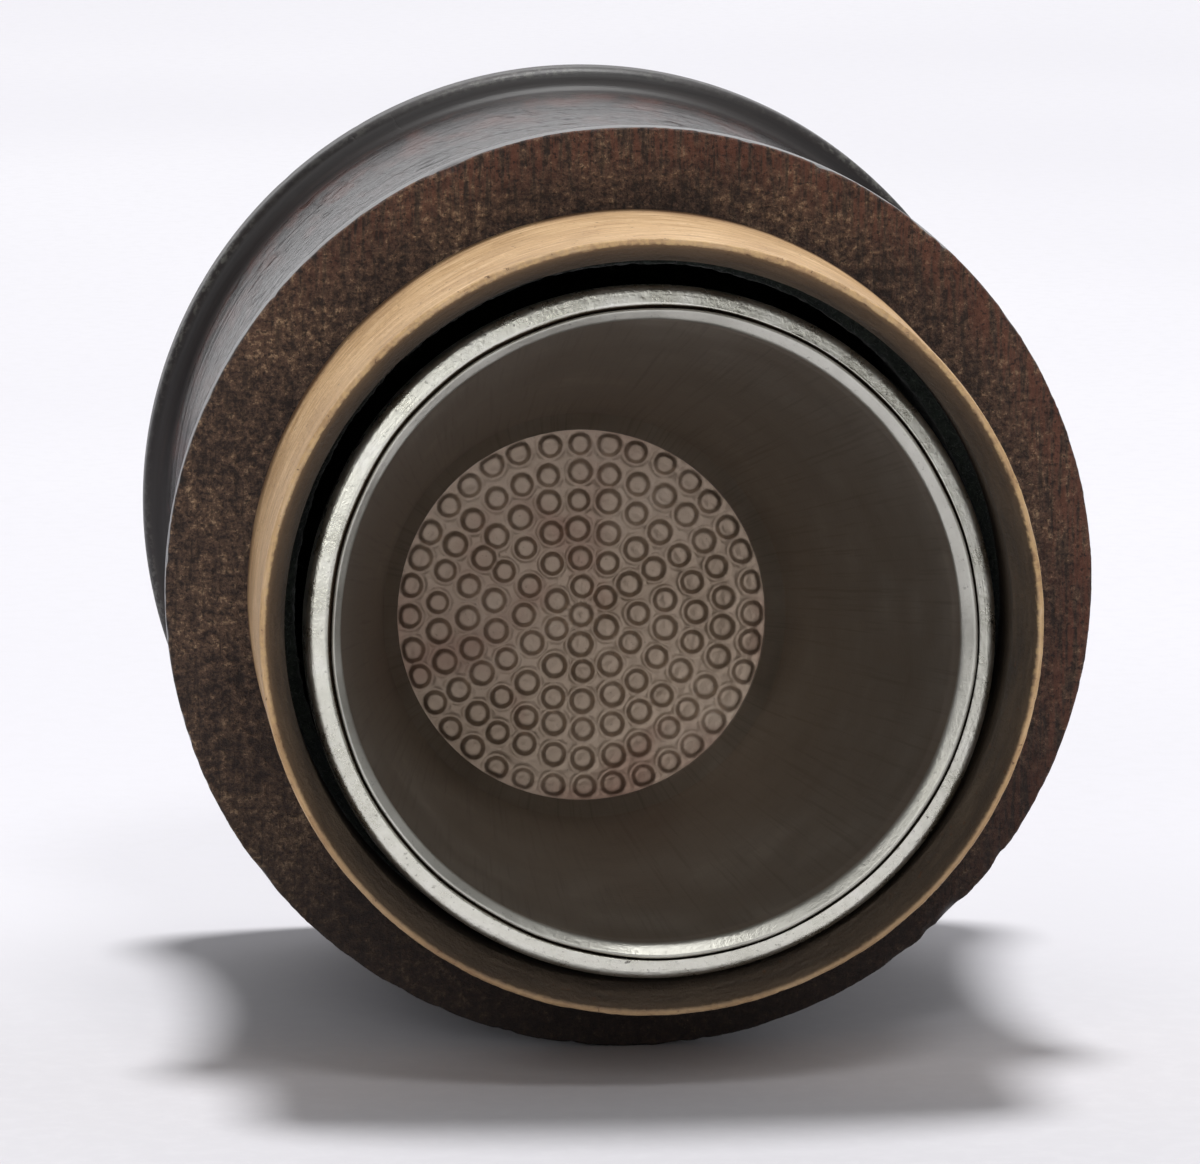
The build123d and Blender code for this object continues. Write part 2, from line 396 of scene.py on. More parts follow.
def dark_wood():
    """Dark wood: bare and fibrous on the front face, lacquered outside, with turning marks round it."""
    n = Nodes("dark_wood")
    x, y, z, radius, across, down = n.axes()
    outside = n.fit(z, 0.01 * MM, 0.12 * MM)
    # the bare face
    patches = n.noise(n.place, 260, 3, 0.55)
    speckle = n.noise(n.place, 3400, 4, 0.85)
    pores = n.noise(n.vector(n.plus(x, 0.3), y, z), 8200, 2, 0.6)
    streaks = n.noise(n.vector(n.mul(x, 8.0), n.mul(y, 0.7), z), 900, 4, 0.6)
    # painted light: the face's tone is raised a little on the left and lowered on the right
    left_side = n.fit(across, 0.7, -0.8, -0.025, 0.012)
    tone = n.plus(speckle, n.plus(left_side, n.fit(patches, 0.3, 0.7, -0.05, 0.05)))
    face = n.ramp(
        tone,
        (0.38, (0.018, 0.011, 0.008)),
        (0.48, (0.070, 0.041, 0.029)),
        (0.58, (0.148, 0.090, 0.056)),
        (0.70, (0.450, 0.310, 0.190)),
    )
    edge = n.fit(radius, 10.7 * MM, 12.0 * MM, 0.1, 1.0)
    red_side = n.fit(n.minus(across, down), -0.6, 0.8)
    redness = n.mul(n.mul(edge, red_side), n.fit(streaks, 0.40, 0.60))
    face = n.mix(n.mul(redness, 0.6), face, (0.175, 0.060, 0.035))
    face = n.mix(n.fit(pores, 0.45, 0.33, 0, 0.8), face, (0.012, 0.008, 0.006))
    face = n.mix(n.fit(streaks, 0.47, 0.34, 0, 0.6), face, (0.024, 0.015, 0.011))
    # painted shade: the bare face darkens towards the bottom
    face = n.mix(n.fit(down, 0.0, 0.95, 0, 0.8), face, (0.018, 0.012, 0.010))
    # the lacquered outside
    rings = n.noise(n.round_place(across, down, 2.2, n.mul(n.plus(z, radius), 3000)), 1.0, 5, 0.7)
    blots = n.noise(n.round_place(across, down, 9.0, n.mul(z, 900)), 1.0, 5, 0.7, 0.3)
    flecks = n.noise(n.place, 5200, 3, 0.65)
    slant = n.vector(n.mul(n.plus(x, z), 9.0), n.mul(y, 1.2), n.minus(z, x))
    scratches = n.noise(slant, 700, 3, 0.6)
    worn = n.mul(
        n.fit(z, REAR_STEP - 5.0 * MM, REAR_STEP - 1.6 * MM, 0.1, 1.0),
        n.fit(z, REAR_STEP - 0.35 * MM, REAR_STEP - 0.9 * MM),
    )
    coat = n.ramp(
        rings,
        (0.3, (0.009, 0.007, 0.007)),
        (0.6, (0.019, 0.014, 0.013)),
        (0.8, (0.050, 0.032, 0.025)),
    )
    coat = n.mix(n.mul(worn, n.fit(blots, 0.42, 0.68, 0, 0.6)), coat, (0.105, 0.038, 0.028))
    # light grey flecks round the flange rims, strongest on the rear flange: partly wear, partly a painted
    # grazing reflection
    rim_wear_and_sheen = n.mul(n.fit(radius, FLANGE_R - 0.26 * MM, FLANGE_R - 0.06 * MM), n.fit(flecks, 0.45, 0.6))
    rim_wear_and_sheen = n.mul(rim_wear_and_sheen, n.fit(z, FRONT_LAND, FRONT_LAND + 1.0 * MM, 0.35, 1.0))
    rim_wear_and_sheen = n.mul(rim_wear_and_sheen, n.fit(patches, 0.42, 0.6, 0.15, 0.6))
    coat = n.mix(rim_wear_and_sheen, coat, (0.13, 0.128, 0.11))
    n.put(n.shader.inputs["Base Color"], n.mix(outside, face, coat))
    # the lacquer is glossy in the cove and duller on the rear step and on the rims of the flanges
    foot = n.mul(
        n.fit(z, REAR_STEP - 0.7 * MM, REAR_STEP - 0.35 * MM),
        n.fit(radius, FLANGE_R - 0.15 * MM, FLANGE_R - 0.35 * MM),
    )
    gloss = n.fit(z, REAR_STEP - 1.6 * MM, REAR_STEP - 0.4 * MM, 0.07, 0.22)
    dull_rim = n.fit(radius, FLANGE_R - 0.3 * MM, FLANGE_R - 0.1 * MM, 0, 0.2)
    rough = n.plus(gloss, n.plus(n.mul(rings, 0.14), n.plus(n.mul(foot, 0.25), dull_rim)))
    bare = n.minus(1.0, outside)
    n.put(n.shader.inputs["Roughness"], n.plus(n.mul(outside, rough), n.mul(bare, 0.78)))
    n.bump(
        (n.mul(streaks, bare), 0.05 * MM, 0.6),
        (n.mul(speckle, bare), 0.16 * MM, 1.0),
        (n.mul(rings, outside), 0.020 * MM, 0.8),
        (n.mul(n.fit(scratches, 0.62, 0.72), outside), -0.008 * MM, 0.5),
    )
    return n.surface(Specular_IOR_Level=0.5, IOR=1.52)


def light_wood():
    """Bare light wood, its fibres running round the sleeve, browner inside the mouth from stain and painted
    shade, with painted shade towards the bottom.
    """
    n = Nodes("light_wood")
    x, y, z, radius, across, down = n.axes()
    grain_lines = n.mul(n.plus(z, n.mul(radius, 0.7)), 5200)
    fibres = n.noise(n.round_place(across, down, 5.0, grain_lines), 1.0, 5, 0.7)
    soft = n.noise(n.place, 420, 4, 0.6)
    pits = n.noise(n.place, 5200, 3, 0.6)
    wood = n.ramp(
        fibres,
        (0.28, (0.33, 0.18, 0.075)),
        (0.5, (0.60, 0.39, 0.20)),
        (0.72, (0.80, 0.585, 0.36)),
    )
    wood = n.mix(n.fit(soft, 0.4, 0.66, 0, 0.5), wood, (0.42, 0.26, 0.13))
    bevel = n.mul(n.fit(radius, SPIGOT_R - 0.09 * MM, SPIGOT_R - 0.2 * MM), n.fit(z, 0.0, -1.0 * MM))
    # the bevel darkens into the bore: partly a real stain, partly painted shade of the recess
    deep = n.fit(radius, SPIGOT_R - 0.12 * MM, BORE_R + 0.08 * MM, 0, 1, False)
    stain_and_shade = n.ramp(
        deep,
        (0.0, (0.26, 0.155, 0.078)),
        (0.35, (0.10, 0.062, 0.035)),
        (1.0, (0.034, 0.024, 0.017)),
    )
    # painted shade: the bevel is darker still towards the bottom and the right
    stain_and_shade = n.mix(n.fit(n.plus(down, n.mul(across, 0.5)), -0.6, 0.5, 0, 0.8), stain_and_shade, (0.034, 0.025, 0.018))
    # painted shade: the sleeve darkens towards the bottom
    wood = n.mix(n.fit(down, 0.25, 0.9, 0, 0.55), wood, (0.16, 0.10, 0.055))
    wood = n.mix(n.mul(bevel, n.fit(fibres, 0.25, 0.7, 1.0, 0.93)), wood, stain_and_shade)
    foot = n.fit(z, -1.3 * MM, -0.1 * MM)
    wood = n.mix(n.mul(foot, n.fit(soft, 0.35, 0.6, 0.25, 0.75)), wood, (0.12, 0.05, 0.022))
    wood = n.mix(n.fit(pits, 0.36, 0.27, 0, 0.75), wood, (0.08, 0.035, 0.015))
    lit_edge = n.mul(n.fit(z, -CREST + 0.1 * MM, -CREST + 0.02 * MM), n.fit(pits, 0.42, 0.62))
    wood = n.mix(n.mul(lit_edge, n.fit(down, 0.7, -0.4, 0.1, 0.6)), wood, (0.70, 0.47, 0.22))
    n.put(n.shader.inputs["Base Color"], wood)
    n.put(n.shader.inputs["Roughness"], n.fit(fibres, 0.3, 0.7, 0.5, 0.72))
    n.bump((fibres, 0.05 * MM, 0.9), (pits, 0.07 * MM, 0.9))
    return n.surface(Specular_IOR_Level=0.4)


def felt():
    """Dark green-black felt with a matted, lighter nap."""
    n = Nodes("felt")
    nap = n.noise(n.place, 6500, 4, 0.75, 0.6)
    soft = n.noise(n.place, 900, 3, 0.6)
    color = n.ramp(
        nap,
        (0.35, (0.010, 0.013, 0.011)),
        (0.6, (0.030, 0.038, 0.030)),
        (0.8, (0.085, 0.095, 0.075)),
    )
    color = n.mix(n.fit(soft, 0.45, 0.7, 0, 0.6), color, (0.018, 0.022, 0.024))
    n.put(n.shader.inputs["Base Color"], color)
    n.bump((soft, 0.06 * MM, 0.6), (nap, 0.08 * MM, 1.0))
    return n.surface(Roughness=0.95, Specular_IOR_Level=0.15, Sheen_Weight=0.25, Sheen_Roughness=0.5)


def rim_metal():
    """Worn bright metal with fine pits, dark specks and soft scratches round the band."""
    n = Nodes("rim_metal")
    x, y, z, radius, across, down = n.axes()
    scratches = n.noise(n.round_place(across, down, 3.0, n.mul(n.plus(radius, z), 14000)), 1.0, 4, 0.65)
    cloud = n.noise(n.place, 700, 4, 0.6)
    grains = n.noise(n.place, 7000, 4, 0.7)
    specks = n.noise(n.place, 3300, 3, 0.6, 0.3)
    seam = n.mul(n.fit(z, 0.0, 0.035 * MM), n.fit(radius, HEM_R + 0.40 * MM, HEM_R + 0.31 * MM))
    seam = n.mul(seam, n.fit(z, 0.6 * MM, 0.4 * MM))
    color = n.ramp(cloud, (0.3, (0.62, 0.61, 0.52)), (0.55, (0.82, 0.81, 0.72)), (0.75, (0.92, 0.91, 0.85)))
    color = n.mix(n.fit(grains, 0.58, 0.72, 0, 0.6), color, (0.17, 0.16, 0.125))
    color = n.mix(n.fit(specks, 0.33, 0.25, 0, 0.9), color, (0.05, 0.045, 0.04))
    color = n.mix(seam, color, (0.10, 0.07, 0.05))
    n.put(n.shader.inputs["Base Color"], color)
    rough = n.plus(n.fit(cloud, 0.35, 0.7, 0.20, 0.34), n.mul(grains, 0.10))
    n.put(n.shader.inputs["Roughness"], rough)
    n.bump((scratches, 0.012 * MM, 0.6), (grains, 0.018 * MM, 0.8), (specks, 0.03 * MM, 0.6))
    return n.surface(Metallic=1.0)


def wall_metal():
    """Tarnished metal: dull and brown inside, greyer and brighter on the raised parts outside."""
    n = Nodes("wall_metal")
    x, y, z, radius, across, down = n.axes()
    lengthwise = n.noise(n.round_place(across, down, 60.0, n.mul(z, 160)), 1.0, 4, 0.6)
    around = n.noise(n.round_place(across, down, 4.0, n.mul(z, 9000)), 1.0, 4, 0.6)
    cloud = n.noise(n.place, 380, 4, 0.6)
    grains = n.noise(n.place, 7500, 3, 0.7)
    # the wall's radius at this height tells its inside from its outside
    slope = (MOUTH_R - SHOULDER_IN_R) / (SHOULDER_T - SHOULDER_THICK - RIM_H)
    inner = n.minus(MOUTH_R, n.mul(n.math("MAXIMUM", n.minus(z, RIM_H), 0.0), slope))
    outside = n.fit(n.minus(radius, inner), 0.08 * MM, 0.16 * MM)
    dull = n.ramp(
        cloud,
        (0.3, (0.22, 0.196, 0.164)),
        (0.55, (0.295, 0.263, 0.222)),
        (0.75, (0.37, 0.33, 0.277)),
    )
    dull = n.mix(n.fit(lengthwise, 0.5, 0.7, 0, 0.3), dull, (0.13, 0.115, 0.095))
    bright = n.ramp(cloud, (0.3, (0.44, 0.43, 0.38)), (0.6, (0.62, 0.61, 0.55)), (0.8, (0.72, 0.71, 0.66)))
    bright = n.mix(n.fit(grains, 0.6, 0.75, 0, 0.5), bright, (0.12, 0.11, 0.095))
    lip = n.fit(z, 0.34 * MM, 0.16 * MM)
    color = n.mix(n.math("MAXIMUM", outside, lip), dull, bright)
    n.put(n.shader.inputs["Base Color"], color)
    shine = n.math("MAXIMUM", outside, lip)
    n.put(n.shader.inputs["Roughness"], n.minus(n.fit(cloud, 0.3, 0.7, 0.44, 0.58), n.mul(shine, 0.16)))
    n.bump((lengthwise, 0.01 * MM, 0.5), (around, 0.006 * MM, 0.5), (grains, 0.014 * MM, 0.7))
    return n.surface(Metallic=0.8)


def cap_metal():
    """Brown-grey tarnish with reddish stains."""
    n = Nodes("cap_metal")
    cloud = n.noise(n.place, 420, 4, 0.6)
    stains = n.noise(n.place, 260, 3, 0.5, 0.4)
    grains = n.noise(n.place, 8000, 4, 0.7)
    color = n.ramp(
        cloud,
        (0.3, (0.44, 0.34, 0.26)),
        (0.55, (0.63, 0.505, 0.40)),
        (0.78, (0.80, 0.67, 0.555)),
    )
    color = n.mix(n.fit(stains, 0.5, 0.68, 0, 0.5), color, (0.36, 0.18, 0.14))
    color = n.mix(n.fit(grains, 0.6, 0.75, 0, 0.5), color, (0.16, 0.125, 0.10))
    n.put(n.shader.inputs["Base Color"], color)
    n.put(n.shader.inputs["Roughness"], n.plus(n.fit(cloud, 0.3, 0.7, 0.36, 0.5), n.mul(grains, 0.1)))
    n.bump((cloud, 0.02 * MM, 0.4), (grains, 0.02 * MM, 0.9))
    return n.surface(Metallic=0.8)


# ---- pieces ----
def finished(piece, material, body, slot, *nodes):
    piece.data.materials.append(material)
    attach(piece, body)
    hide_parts(*nodes)
    return piece


HIDDEN = 3 * MM  # step of the runs that no one sees
SMALL_NICKS = 34


def build_body():
    """The turned case: thin front flange, cove between two small steps, rear flange and flat base."""
    cove_from = FRONT_LAND + STEP_SLOPE
    cove_to = REAR_STEP - STEP_SLOPE
    waist = (WAIST_R, (cove_from + cove_to) / 2)
    cove = arc_between((COVE_EDGE_R, cove_from), waist, (COVE_EDGE_R, cove_to), 90)
    corners = [
        (0, PAD_END, 0),
        (BORE_R, PAD_END, 0, HIDDEN),
        (BORE_R, SLEEVE_END, 0, HIDDEN),
        (REBATE_R, SLEEVE_END, 0, HIDDEN),
        (REBATE_R, 0, 0, HIDDEN),
        (FLANGE_R, 0, 0.07 * MM, 0.06 * MM),
        (FLANGE_R, FRONT_LAND, 0.12 * MM),
        *[(r, z, 0.0) for r, z in cove[:-3]],
        (COVE_EDGE_R, cove_to, 0.5 * MM, 0.08 * MM),
        (FLANGE_R, REAR_STEP, 0.4 * MM, 0.08 * MM),
        (FLANGE_R, BARREL, BASE_ROUND),
        (0, BARREL, 0, 0.4 * MM),
    ]
    line = rounded(corners, 0.16 * MM, 7)
    rng = np.random.RandomState(11)
    # nicks in the front flange's edge: angle round the axis, then width and depth in millimetres
    nicks = [(0.80, 0.35, 0.16), (0.86, 0.2, 0.1), (-1.96, 0.5, 0.05), (2.5, 0.3, 0.04)]
    for _ in range(SMALL_NICKS):
        nicks.append((rng.uniform(-math.pi, math.pi), rng.uniform(0.08, 0.3), rng.uniform(0.015, 0.05)))

    def push(theta, line, normals, share):
        r, z = line[:, 0], line[:, 1]
        around = len(theta)
        on_face = smooth_step((r - SPIGOT_R + 0.05 * MM) / (0.1 * MM)) * (np.abs(z) < 0.06 * MM)
        outside = smooth_step(z / (0.3 * MM)) * (r > WAIST_R - 0.1 * MM)
        amount = grid_noise(1, around, share, 560, 620, 2) * 0.010 * MM * on_face
        amount += grid_noise(2, around, share, 90, 60, 2) * 0.006 * MM * on_face
        turning = grid_noise(3, around, share, 3, 420, 2) * 0.0035 * MM
        dents = np.minimum(grid_noise(4, around, share, 60, 70, 3) + 0.9, 0) * 0.05 * MM
        amount += (turning + dents) * outside
        edge = np.exp(-(((r - FLANGE_R) / (0.16 * MM)) ** 2) - (z / (0.22 * MM)) ** 2)
        for angle, width, depth in nicks:
            near = np.exp(-((wrapped(theta, angle) * FLANGE_R / (width * MM)) ** 2))
            amount -= near[:, None] * edge[None, :] * depth * MM
        amount += (grid_noise(5, around, share, 240, 8, 3) * 0.008 * MM) * edge[None, :]
        solid = (r > SPIGOT_R) * (z < BARREL - 0.01 * MM)
        return amount * solid

    piece = lathe("case_body_wood", line, 1120, CASE, push)
    return finished(piece, dark_wood(), "case", "dark_wood", "case_body")


def build_sleeve():
    """The light sleeve: straight outside, narrow worn crest, bevelled mouth."""
    crest_in = SPIGOT_R - CREST_EDGE - CREST_WIDTH
    corners = [
        (SPIGOT_R, -CREST / 2, 0),
        (SPIGOT_R, 0, 0.03 * MM),
        (REBATE_R, 0, 0, HIDDEN),
        (REBATE_R, SLEEVE_END, 0, HIDDEN),
        (BORE_R, SLEEVE_END, 0, HIDDEN),
        (BORE_R, -LINING_START, 0, HIDDEN),
        (BORE_R, -CREST + BEVEL_DEPTH, 0.2 * MM, 0.1 * MM),
        (crest_in, -CREST, 0.06 * MM, 0.06 * MM),
        (SPIGOT_R, -CREST, 0.12 * MM, 0.05 * MM),
        (SPIGOT_R, -CREST / 2, 0),
    ]
    line = rounded(corners, 0.1 * MM, 6)[:-1]

    def push(theta, line, normals, share):
        r, z = line[:, 0], line[:, 1]
        around = len(theta)
        shown = smooth_step((-z - 0.02 * MM) / (0.1 * MM))
        crest = np.exp(-(((z + CREST) / (0.16 * MM)) ** 2))
        fibres = grid_noise(21, around, share, 26, 420, 3) * 0.007 * MM
        pits = np.minimum(grid_noise(22, around, share, 330, 150, 2) + 0.75, 0) * 0.05 * MM
        waves = grid_noise(23, around, share, 9, 6, 2) * 0.010 * MM
        ragged = grid_noise(24, around, share, 170, 10, 3) * 0.012 * MM
        chips = np.minimum(grid_noise(25, around, share, 60, 4, 2) + 0.75, 0) * 0.12 * MM
        amount = (fibres + pits + waves) * shown + (ragged + chips - 0.01 * MM) * crest
        return np.minimum(amount, 0.0)

    piece = lathe("sleeve_wood", line, 1000, CASE, push)
    return finished(piece, light_wood(), "case", "light_wood", "spigot_sleeve")


def build_lining(material):
    """The felt tube, matted and uneven on the side that shows."""
    half = (PAD_TOP - LINING_START) / 2
    corners = [
        (BORE_R, half, 0),
        (BORE_R, PAD_TOP, 0, HIDDEN),
        (LINING_R, PAD_TOP, 0, HIDDEN),
        (LINING_R, -LINING_START, 0.12 * MM, 0.12 * MM),
        (BORE_R, -LINING_START, 0.1 * MM, 0.08 * MM),
        (BORE_R, half, 0, HIDDEN),
    ]
    line = rounded(corners, 0.1 * MM, 5)[:-1]

    def push(theta, line, normals, share):
        r = line[:, 0]
        around = len(theta)
        shown = smooth_step((BORE_R - r) / (0.08 * MM))
        fluff = grid_noise(31, around, share, 300, 260, 3) * 0.028 * MM
        lumps = grid_noise(32, around, share, 40, 34, 2) * 0.022 * MM
        return (fluff + lumps - 0.01 * MM) * shown

    piece = lathe("lining_felt", line, 760, CASE, push)
    finished(piece, material, "case", "felt_lining", "bore_lining")
    return piece


def build_pad(material):
    """The felt disc at the bottom of the bore."""
    corners = [
        (0, PAD_TOP, 0),
        (BORE_R, PAD_TOP, 0.02 * MM, 0.12 * MM),
        (BORE_R, PAD_END, 0, HIDDEN),
        (0, PAD_END, 0, HIDDEN),
    ]
    line = rounded(corners, 0.12 * MM, 2)

    def push(theta, line, normals, share):
        r, z = line[:, 0], line[:, 1]
        shown = (z < PAD_TOP + 0.01 * MM) * (r > 0.2 * MM) * smooth_step((LINING_R - r) / (0.1 * MM))
        return grid_noise(36, len(theta), share, 220, 130, 3) * 0.02 * MM * shown

    piece = lathe("pad_felt", line, 480, CASE, push)
    finished(piece, material, "case", "felt_pad", "floor_pad")
    return piece


HAIRS = 1500
HAIR_STEPS = 4


def build_fibres(material):
    """Loose hairs of the felt that stand out of the lining's open end."""
    rng = np.random.RandomState(41)
    verts, faces = [], []
    for _ in range(HAIRS):
        angle = rng.uniform(-math.pi, math.pi)
        out = Vector((math.cos(angle), math.sin(angle), 0))
        round_way = Vector((-math.sin(angle), math.cos(angle), 0))
        root = out * (LINING_R + rng.uniform(0.03, 0.34) * MM) + Vector((0, 0, -LINING_START + 0.03 * MM))
        length = rng.uniform(0.12, 0.42) * MM
        way = (Vector((0, 0, -1)) + round_way * rng.normal(0, 0.7) + out * rng.normal(0, 0.25)).normalized()
        bend = (round_way * rng.normal(0, 0.8) - out * rng.uniform(-0.3, 0.5)) * 0.5
        thick = rng.uniform(0.006, 0.011) * MM
        first = len(verts)
        for k in range(HAIR_STEPS + 1):
            s = k / HAIR_STEPS
            center = root + way * length * s + bend * length * s * s
            flat = math.hypot(center.x, center.y)
            if flat < LINING_R - 0.12 * MM:
                center = Vector((*(center.xy / flat * (LINING_R - 0.12 * MM)), center.z))
            if flat > BORE_R - 0.03 * MM:
                center = Vector((*(center.xy / flat * (BORE_R - 0.03 * MM)), center.z))
            width = thick * (1 - 0.75 * s)
            for corner in range(3):
                turn = 2 * math.pi * corner / 3
                verts.append(tuple(center + (out * math.cos(turn) + round_way * math.sin(turn)) * width))
            if k:
                for corner in range(3):
                    a, b = first + 3 * (k - 1) + corner, first + 3 * (k - 1) + (corner + 1) % 3
                    faces.append((a, b, b + 3, a + 3))
        faces.append((first + 2, first + 1, first))
        tip = first + 3 * HAIR_STEPS
        faces.append((tip, tip + 1, tip + 2))
    mesh = bpy.data.meshes.new("lining_fibres")
    mesh.from_pydata(verts, [], faces)
    piece = bpy.data.objects.new("lining_fibres", mesh)
    piece.matrix_world = CASE
    bpy.context.scene.collection.objects.link(piece)
    piece.data.materials.append(material)
    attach(piece, "case")
    return piece


def seam_shift(theta, line):
    """How far the seam between band and wall strays from a true circle, most of all at the right."""
    near = smooth_step(1 - np.abs(line[:, 0] - HEM_R) / (0.24 * MM))
    near = near * smooth_step((0.5 * MM - line[:, 1]) / (0.3 * MM))
    stray = 0.075 + 0.085 * np.cos(theta - 0.5) + 0.02 * np.sin(5 * theta + 1.0) + 0.008 * np.sin(17 * theta)
    return stray[:, None] * MM * near[None, :]


def build_band():
    """The bright band round the thimble's mouth, a little crowned in front."""
    corners = [
        (RIM_R, RIM_H / 2, 0),
        (RIM_R, RIM_H, 0.28 * MM),
        (HEM_R, RIM_H, 0, 0.1 * MM),
        (HEM_R, 0.25 * MM, 0, HIDDEN),
        (HEM_R + 0.02 * MM, 0.11 * MM, 0.03 * MM, 0.02 * MM),
        (HEM_R + 0.14 * MM, -0.03 * MM, 0.08 * MM, 0.02 * MM),
        (RIM_R, 0.04 * MM, 0.24 * MM, 0.03 * MM),
        (RIM_R, RIM_H / 2, 0),
    ]
    line = rounded(corners, 0.06 * MM, 8)[:-1]

    def push(theta, line, normals, share):
        r = line[:, 0]
        around = len(theta)
        shown = smooth_step((r - HEM_R) / (0.05 * MM))
        waves = grid_noise(51, around, share, 14, 3, 3) * 0.006 * MM
        dents = np.minimum(grid_noise(52, around, share, 190, 20, 3) + 0.9, 0) * 0.03 * MM
        return (waves + dents) * shown

    piece = lathe("thimble_band", line, 960, THIMBLE, push, widen=seam_shift)
    return finished(piece, rim_metal(), "thimble", "rim_metal", "thimble_rim")


# the wall's dimples, outside
DIMPLE_ROWS = 16
DIMPLES_ROUND = 56
ROW_PITCH = 0.8 * MM
FIRST_ROW = 2.9 * MM
DIMPLE_R = 0.34 * MM
DIMPLE_DEPTH = 0.11 * MM
DIMPLE_RIDGE = 0.018 * MM


def build_wall():
    """The thimble's wall: smooth inside, rows of round dimples outside."""
    corners = [
        (HEM_R, 0.8 * MM, 0),
        (HEM_R, RIM_H, 0.05 * MM, 0.2 * MM),
        (SHOULDER_R, SHOULDER_T, 0.6 * MM, 0.085 * MM),
        (SEAT_R + 0.25 * MM, SEAT_T, 0.2 * MM, 0.1 * MM),
        (HOLE_R, SEAT_T, 0, 0.2 * MM),
        (HOLE_R, SEAT_T - SHOULDER_THICK, 0.08 * MM, 0.05 * MM),
        (SHOULDER_IN_R, SHOULDER_T - SHOULDER_THICK, 0.35 * MM, 0.1 * MM),
        (MOUTH_R, RIM_H, 2.0 * MM, 0.3 * MM),
        (MOUTH_R, 0.2 * MM, 0.16 * MM, 0.1 * MM),
        (HEM_R - 0.05 * MM, 0.0, 0.1 * MM, 0.03 * MM),
        (HEM_R, 0.05 * MM, 0.03 * MM, 0.03 * MM),
        (HEM_R, 0.8 * MM, 0),
    ]
    line = rounded(corners, 0.08 * MM, 6)[:-1]
    taper = (HEM_R - SHOULDER_R) / (SHOULDER_T - RIM_H)

    def push(theta, line, normals, share):
        r, z = line[:, 0], line[:, 1]
        around = len(theta)
        wall_r = HEM_R - np.maximum(z - RIM_H, 0) * taper
        outside = (np.abs(r - wall_r) < 0.06 * MM) & (z > RIM_H + 0.2 * MM) & (z < SHOULDER_T)
        amount = np.zeros((around, len(line)))
        for row in range(DIMPLE_ROWS):
            height = FIRST_ROW + row * ROW_PITCH
            radius = HEM_R - (height - RIM_H) * taper
            pitch = 2 * math.pi * radius / DIMPLES_ROUND
            reach = min(0.42 * pitch, DIMPLE_R)
            turn = 2 * math.pi / DIMPLES_ROUND
            offset = (0.5 * (row % 2) + 0.04 * math.sin(row * 2.3)) * turn
            gap = (theta - offset + turn / 2) % turn - turn / 2
            off = np.hypot(gap[:, None] * radius, (z - height)[None, :]) / reach
            bowl = -DIMPLE_DEPTH * (1 - smooth_step((off - 0.25) / 0.75))
            ridge = DIMPLE_RIDGE * np.exp(-(((off - 1.12) / 0.2) ** 2))
            amount += (bowl + ridge) * outside
        inner = (r < wall_r - 0.2 * MM) & (z > 0.2 * MM)
        amount += grid_noise(61, around, share, 20, 40, 3) * 0.006 * MM * inner
        amount += grid_noise(62, around, share, 18, 30, 3) * 0.006 * MM * outside
        return amount

    piece = lathe("thimble_wall", line, 784, THIMBLE, push, widen=seam_shift)
    return finished(piece, wall_metal(), "thimble", "thimble_metal", "thimble_shell")


# the crown's bosses inside and its dimples outside, on the same centres
CAP_RINGS = 6
CAP_PITCH = 0.8 * MM
BOSS_R = 0.315 * MM
BOSS_HEIGHT = 0.085 * MM
MOAT_DEPTH = 0.032 * MM
HOLLOW_DEPTH = 0.014 * MM
PIT_DEPTH = 0.12 * MM
SCATTER = 0.032


